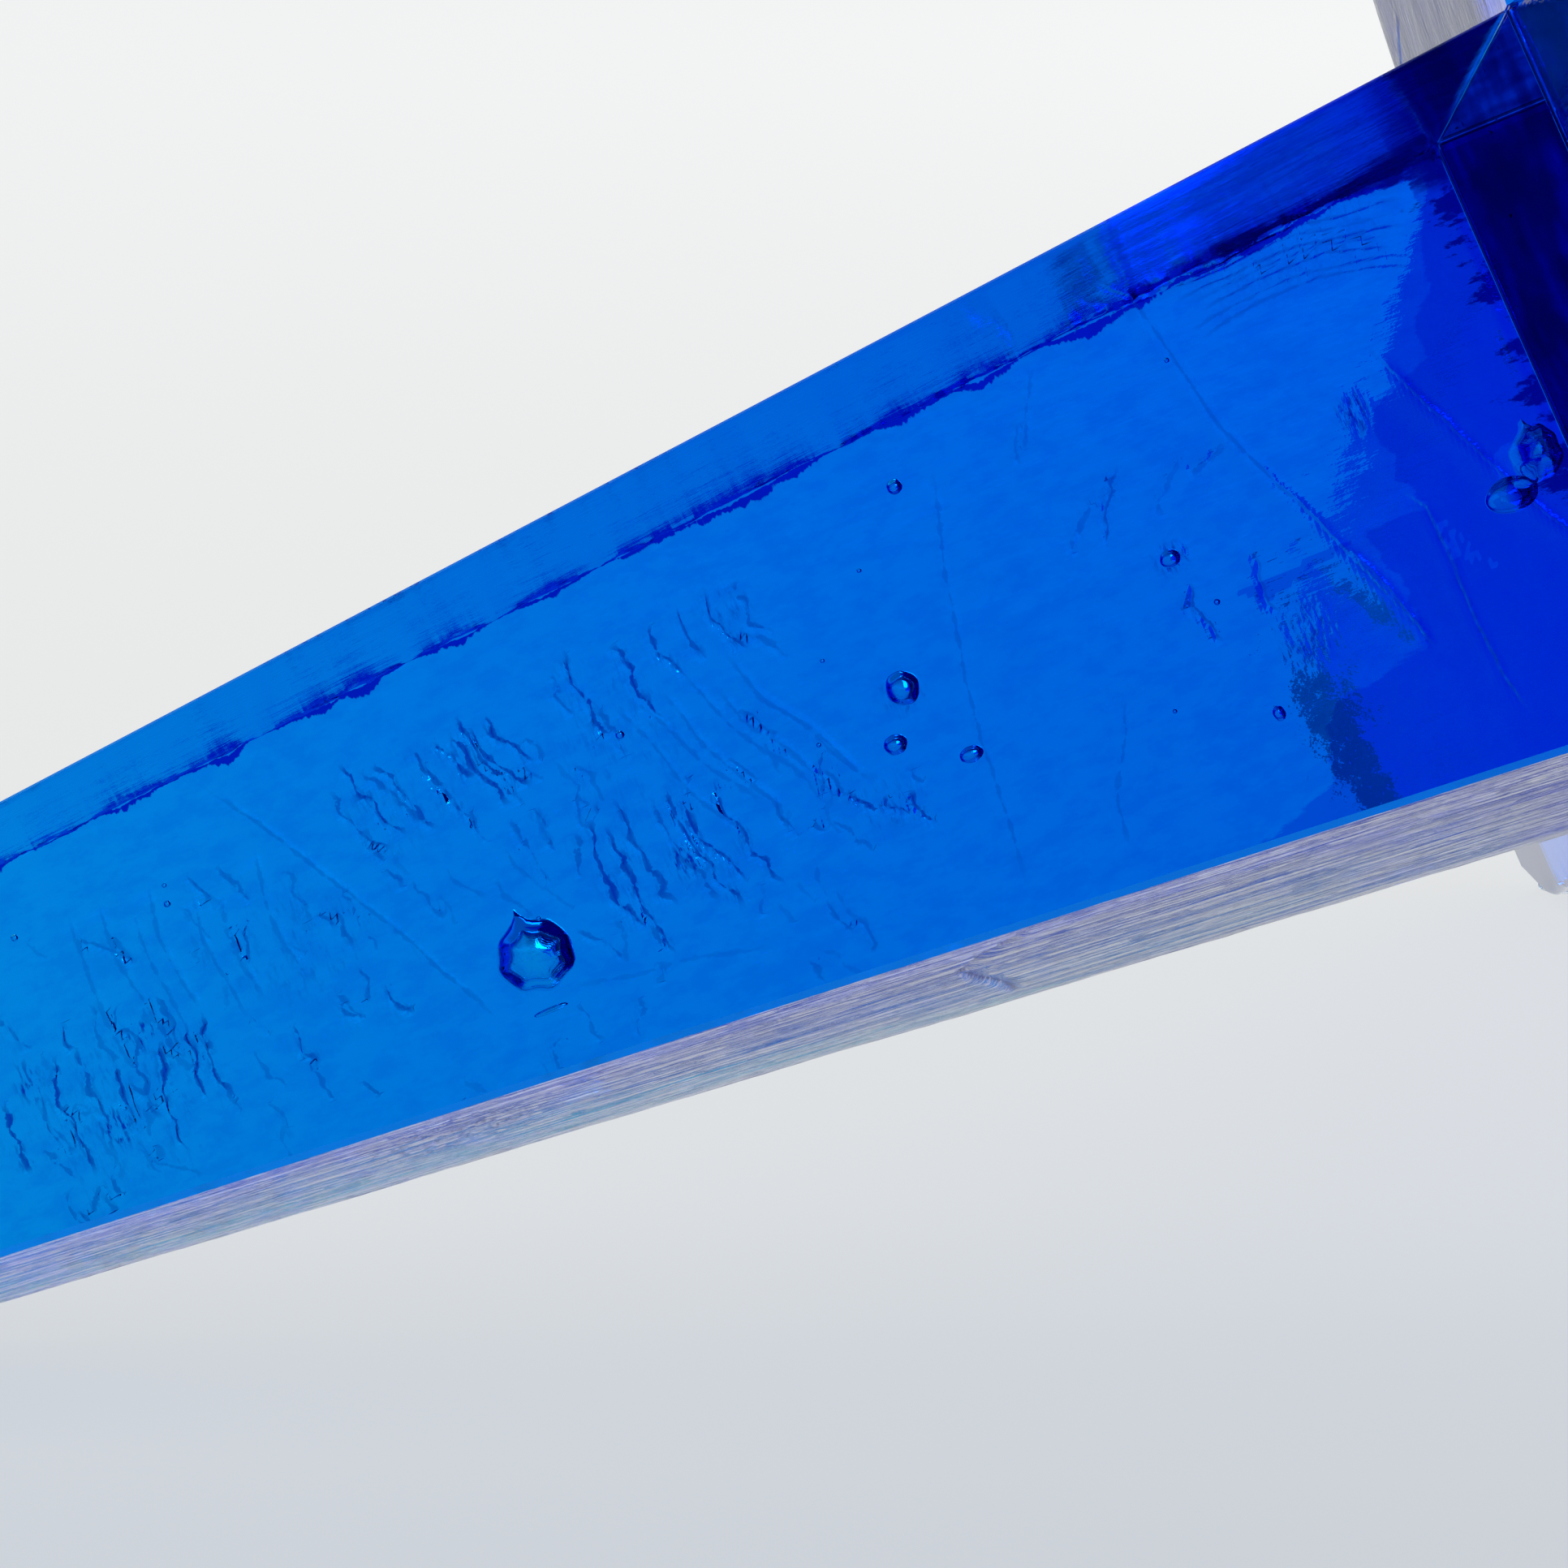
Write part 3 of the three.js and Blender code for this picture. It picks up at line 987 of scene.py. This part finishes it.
def see_through(nodes, shader, tint=(1, 1, 1, 1)):
    """Leaves glass out where faces are bonded, and for shadow rays, so that it throws no dark shadow."""
    bonded = nodes.attribute("bonded")["Fac"]
    shadow = nodes.add("LightPath").outputs["Is Shadow Ray"]
    clear = nodes.add("BsdfTransparent", {"Color": tint}).outputs[0]
    return nodes.mix_shader(nodes.larger(bonded, shadow), shader, clear)


def read_surface(nodes):
    """What a glass mesh stores on its faces and points, and two noises that several marks share."""
    at = SimpleNamespace(local=nodes.attribute("local")["Vector"])
    at.mould, at.under, at.residue, at.ground = (nodes.attribute(key)["Fac"] for key in FACE_VALUES[1:])
    at.creases = [nodes.parts(nodes.attribute(key)["Vector"])[:2] for key in ("crease_a", "crease_b")]
    # the torn attribute holds scuff and the places in the painted shade of the corner ribbon and the deeper
    # blue
    at.scuff, at.ribbon, at.royal = nodes.parts(nodes.attribute("torn")["Vector"])
    at.along, at.outward, at.lift = nodes.parts(at.local)
    at.torn = nodes.noise(at.local, (2.6, 0.8, 0.8), 2.0)
    at.flames = nodes.noise(at.local, (0.12, 0.38, 0.38), 8.0, 0.7)
    return at


def surface_bump(nodes, at):
    """The finest relief, with its heights in millimetres."""
    skin = nodes.noise(at.local, (0.30, 0.60, 0.60), 4.0)
    skin = nodes.times(skin, nodes.minus(0.08, nodes.times(at.under, 0.04)))
    streak = nodes.times(nodes.noise(at.local, (0.10, 2.2, 2.2), 2.0), 0.03)
    wood = nodes.times(nodes.noise(at.local, (0.012, 0.30, 0.30), 5.0, 0.6), 1.25)
    fibre = nodes.times(nodes.noise(at.local, (0.02, 0.95, 0.95), 3.0, 0.6), 0.45)
    wood = nodes.times(nodes.plus(wood, fibre), at.under)
    folds = [nodes.times(nodes.smooth_range(side, -0.22, 0.22), near) for side, near in at.creases]
    fold = nodes.times(nodes.plus(*folds), 0.28)
    tears = nodes.times(nodes.times(at.torn, at.scuff), 0.20)
    height = nodes.plus(nodes.plus(skin, streak), nodes.plus(fold, tears))
    return nodes.bump(nodes.plus(height, wood), 1 / PER_METRE, nodes.larger(at.mould, at.ground))


def crease_shade_share(nodes, at):
    """Painted shade in creases, and specks of painted shade in torn skin."""
    uneven = nodes.noise(at.local, (0.9, 0.9, 0.9), 3.0)
    width = nodes.times(nodes.minus(uneven, 0.40), 1.3)
    lines = []
    for side, near in at.creases:
        beside = nodes.minus(nodes.math("ABSOLUTE", side), width)
        lines.append(nodes.times(nodes.smooth_range(beside, 0.07, 0.0), near))
    specks = nodes.times(nodes.smooth_range(at.torn, 0.46, 0.62), nodes.times(at.scuff, 1.3))
    return nodes.larger(nodes.larger(*lines), specks, clamp=True)


def deep_blue_shade_shares(nodes, at):
    """Painted shade: the deeper blue near the block, and the dark brush-like streaks where it climbs the
    upper face.
    """
    royal = nodes.plus(at.royal, nodes.swing(at.flames, 4.0))
    royal = nodes.times(nodes.smooth_range(royal, -0.15, 0.25), at.residue)
    shade_streaks = nodes.times(nodes.smooth_range(at.lift, 27.5, 29.5), royal)
    return royal, nodes.times(shade_streaks, nodes.smooth_range(at.flames, 0.40, 0.60))


def corner_shade_share(nodes, at):
    """The ragged ribbon of painted shade along the upper rear corner."""
    place = nodes.plus(at.ribbon, nodes.swing(at.torn, 0.9))
    return nodes.times(nodes.smooth_range(place, -0.06, 0.10), at.mould)


def block_shade_share(nodes, at):
    """Painted shade at the block, about 40 mm from its middle, with a flame-like edge."""
    place = nodes.plus(at.along, nodes.swing(at.flames, 26.0))
    place = nodes.minus(place, nodes.times(at.outward, 0.19))
    return nodes.times(nodes.smooth_range(place, 40.9, 39.5), at.residue)


def skin_colour_and_shade(nodes, at, crease_shade, royal, shade_streaks):
    """Colour of the glass's skin: a random mottle and the ground faces' azure, and painted shade in the
    deeper blue, its streaks, the corner ribbon, at the block and in creases. Light that crosses a face
    takes on its square root.
    """
    mottle = nodes.smooth_range(nodes.noise(at.local, (0.26, 0.5, 0.5), 6.0, 0.65), 0.40, 0.64)
    skin_and_shade = (1, 1, 1, 1)
    layers = [
        (nodes.times(nodes.times(mottle, at.mould), 0.36), (0.25, 0.3, 0.8, 1)),
        # painted shade: the deeper blue near the block and its dark streaks
        (nodes.times(royal, 0.85), (0.2, 0.24, 0.78, 1)),
        (shade_streaks, (0.0, 0.02, 0.40, 1)),
        # painted shade along the upper rear corner
        (corner_shade_share(nodes, at), (0.03, 0.003, 0.42, 1)),
        # painted shade at the block
        (block_shade_share(nodes, at), (0.01, 0.003, 0.14, 1)),
        # painted shade in creases and in torn skin
        (crease_shade, (0.03, 0.025, 0.30, 1)),
        (nodes.times(at.ground, 2.0, clamp=True), (0.0, 0.42, 1.0, 1)),
    ]
    for share, colour in layers:
        skin_and_shade = nodes.mix_colour(share, skin_and_shade, colour)
    return skin_and_shade


def glass_material():
    """Clear cobalt blue: its depth of colour comes from absorption along the path, and from shade painted
    on its skin.
    """
    material, nodes = new_material("blue_glass")
    at = read_surface(nodes)
    crease_shade = crease_shade_share(nodes, at)
    royal, shade_streaks = deep_blue_shade_shares(nodes, at)
    # The painted streaks of shade also let less light through, like the ground faces.
    frosted = nodes.larger(nodes.times(at.ground, 0.9), nodes.times(shade_streaks, 0.6))
    dull = nodes.plus(nodes.times(at.ground, 0.4), nodes.times(crease_shade, 0.22))
    shader = nodes.add("BsdfPrincipled", {
        "Base Color": skin_colour_and_shade(nodes, at, crease_shade, royal, shade_streaks),
        "Specular Tint": (0.03, 0.4, 1.0, 1),
        "Roughness": nodes.plus(dull, nodes.times(at.mould, 0.03)),
        "IOR": 1.5,
        "Transmission Weight": nodes.minus(1.0, frosted),
        "Normal": surface_bump(nodes, at),
    })
    volume = nodes.add("VolumeAbsorption", {"Color": (0, 0.835, 0.9945, 1), "Density": 200.0})
    surface = see_through(nodes, shader.outputs[0])
    nodes.add("OutputMaterial", {"Surface": surface, "Volume": volume.outputs[0]})
    return material


def bond_material():
    """Clear adhesive, greenish through its faces and unevenly spread."""
    material, nodes = new_material("clear_bond")
    place = nodes.add("TexCoord").outputs["Object"]
    spread = nodes.smooth_range(nodes.noise(place, (130.0, 130.0, 130.0), 8.0, 0.6), 0.35, 0.62)
    tint = nodes.mix_colour(spread, (0.80, 0.62, 0.86, 1), (0.45, 0.30, 0.62, 1))
    fine = nodes.noise(place, (900.0, 900.0, 900.0), 2.0)
    shader = nodes.add("BsdfPrincipled", {
        "Base Color": (0.01, 0.07, 0.12, 1),
        "Roughness": 0.12,
        "IOR": 1.48,
        "Transmission Weight": 1.0,
        "Normal": nodes.bump(fine, 0.00004, 0.6),
    })
    nodes.add("OutputMaterial", {"Surface": see_through(nodes, shader.outputs[0], tint)})
    return material


def pad_material():
    """Clear soft plastic with a satin skin."""
    material, nodes = new_material("clear_pad")
    satin = nodes.add("TexNoise", {"Scale": 2600.0, "Detail": 4.0}).outputs["Fac"]
    shader = nodes.add("BsdfPrincipled", {
        "Base Color": (0.88, 0.91, 0.93, 1),
        "Roughness": 0.34,
        "IOR": 1.49,
        "Transmission Weight": 0.75,
        "Normal": nodes.bump(satin, 0.00003, 0.5),
    })
    nodes.add("OutputMaterial", {"Surface": shader.outputs[0]})
    return material


# Floor, light and camera

# Painted shade on the floor, darker towards the camera: how pale it looks along the camera's line of sight,
# metres from the star's middle, linear colour
FLOOR_PAINTED_SHADE = [
    (-0.60, (0.600, 0.630, 0.660)),
    (-0.09, (0.640, 0.676, 0.706)),
    (0.03, (0.745, 0.772, 0.790)),
    (0.26, (0.805, 0.814, 0.812)),
    (0.90, (0.842, 0.846, 0.848)),
    (2.40, (0.888, 0.892, 0.894)),
]
# The floor's own colour here is its painted shade, darker towards the camera.
FLOOR_GLOW = 0.87  # share of the floor's look that lies in its own colour; the rest takes the shadow
FLOOR_HALF = 6.0
AWAY = (0.148, 0.989, 0.0)  # the camera's line of sight, level

ROOM_PALE = ((0.91, 0.912, 0.915, 1), (0.80, 0.82, 0.85, 1))  # at the horizon and overhead
ROOM_DIM = 0.97  # how much darker the glass sees the room behind the camera
CEILING_DIM = 0.45

# Angles of the camera around the star's axes in degrees, and its place from the middle of the block
CAMERA_ANGLES = (99.517, 22.405, -0.470)
CAMERA_PLACE = (-0.15882, -0.59094, -0.09419)

LAMP_PLACE = (1.0, 1.6, 0.85)
LAMP_TARGET = (0, 0, 0.05)


def painted_floor_shade(nodes):
    place = nodes.add("NewGeometry").outputs["Position"]
    near, far = FLOOR_PAINTED_SHADE[0][0], FLOOR_PAINTED_SHADE[-1][0]
    share = nodes.smooth_range(nodes.dot(place, AWAY), near, far, "LINEAR")
    ramp = nodes.add("ValToRGB", {0: share})
    stops = ramp.color_ramp.elements
    for distance, colour in FLOOR_PAINTED_SHADE[1:-1]:
        stops.new((distance - near) / (far - near)).color = (*colour, 1)
    stops[0].color = (*FLOOR_PAINTED_SHADE[0][1], 1)
    stops[-1].color = (*FLOOR_PAINTED_SHADE[-1][1], 1)
    return ramp.outputs[0]


def floor_material():
    """Pale paper that shows a painted shade, darker towards the camera, to the camera and through glass,
    and takes the shadow.
    """
    material, nodes = new_material("floor_paper")
    tone = painted_floor_shade(nodes)
    glow = nodes.add("Emission", {"Color": tone}).outputs[0]
    paper = nodes.add("BsdfDiffuse", {"Color": tone}).outputs[0]
    path = nodes.add("LightPath").outputs
    seen = nodes.larger(path["Is Camera Ray"], path["Is Glossy Ray"])
    seen = nodes.larger(seen, path["Is Transmission Ray"])
    look = nodes.mix_shader(nodes.times(seen, FLOOR_GLOW), paper, glow)
    nodes.add("OutputMaterial", {"Surface": look})
    return material


def build_floor():
    """A large pale sheet that turns lighter away from the camera."""
    mesh = bpy.data.meshes.new("floor")
    signs = ((-1, -1), (1, -1), (1, 1), (-1, 1))
    corners = [(x * FLOOR_HALF, y * FLOOR_HALF, -0.0002) for x, y in signs]
    mesh.from_pydata(corners, [], [(0, 1, 2, 3)])
    mesh.materials.append(floor_material())
    new_piece("floor", mesh)


def build_world():
    """Even pale light. The glass sees a dim room behind the camera and a less bright ceiling."""
    world = bpy.data.worlds.new("studio")
    bpy.context.scene.world = world
    world.use_nodes = True
    nodes = Nodes(world.node_tree)
    direction = nodes.add("TexCoord").outputs["Generated"]
    height = nodes.parts(direction)["Z"]
    ramp = nodes.add("ValToRGB", {0: height})
    for stop, colour in zip(ramp.color_ramp.elements, ROOM_PALE):
        stop.color = colour
    behind = nodes.times(nodes.smooth_range(nodes.dot(direction, -STAR_Y), 0.0, 0.6), ROOM_DIM)
    above = nodes.times(nodes.smooth_range(height, 0.05, 0.5), CEILING_DIM)
    path = nodes.add("LightPath").outputs
    by_glass = nodes.larger(path["Is Glossy Ray"], path["Is Transmission Ray"])
    strength = nodes.minus(1.0, nodes.times(nodes.larger(behind, above), by_glass))
    light = nodes.add("Background", {"Color": ramp.outputs[0], "Strength": strength})
    nodes.add("OutputWorld", {"Surface": light.outputs[0]})


def build_lamp():
    """A large square soft lamp, beyond the sculpture and to the right."""
    lamp = bpy.data.lights.new("lamp_behind", "AREA")
    lamp.size = 0.9
    lamp.energy = 14
    holder = new_piece("lamp_behind", lamp)
    holder.location = LAMP_PLACE
    aim = Vector(LAMP_TARGET) - Vector(LAMP_PLACE)
    holder.rotation_euler = aim.to_track_quat("-Z", "Y").to_euler()


def build_camera():
    """The photograph's viewpoint: a long lens, looking slightly down at the left leg's polished face."""
    camera = bpy.data.cameras.new("camera")
    camera.sensor_width = 36
    camera.lens = 150
    camera.clip_start = 0.01
    star = Matrix((STAR_X, STAR_Y, STAR_Z)).transposed()
    turn = Euler([math.radians(angle) for angle in CAMERA_ANGLES]).to_matrix()
    place = (star @ turn).to_4x4()
    place.translation = CENTRE + star_vector(*CAMERA_PLACE)
    holder = new_piece("camera", camera)
    holder.matrix_world = place
    bpy.context.scene.camera = holder


def dress(piece, material, node):
    """Gives a piece its finish and lets it stand for a CAD node."""
    piece.data.materials.append(material)
    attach(piece, BODY)
    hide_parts(node)


def set_looks():
    """Plain colours, and enough bounces for light to cross the glass."""
    scene = bpy.context.scene
    scene.view_settings.view_transform = "Standard"
    scene.cycles.max_bounces = 24
    scene.cycles.glossy_bounces = 16
    scene.cycles.transmission_bounces = 24
    scene.cycles.transparent_max_bounces = 32


def main():
    glass = glass_material()
    bond = bond_material()
    pad = pad_material()
    for i, name in enumerate(ARMS):
        dress(build_arm(name, 1000 + 300 * i), glass, name)
        dress(build_bond(name, 500 + 40 * i), bond, "bond_" + name)
    dress(build_hub(), glass, "hub_block")
    for name in LEGS:
        dress(build_pad(name), pad, "pad_" + name)
    build_floor()
    build_world()
    build_lamp()
    build_camera()
    set_looks()


main()
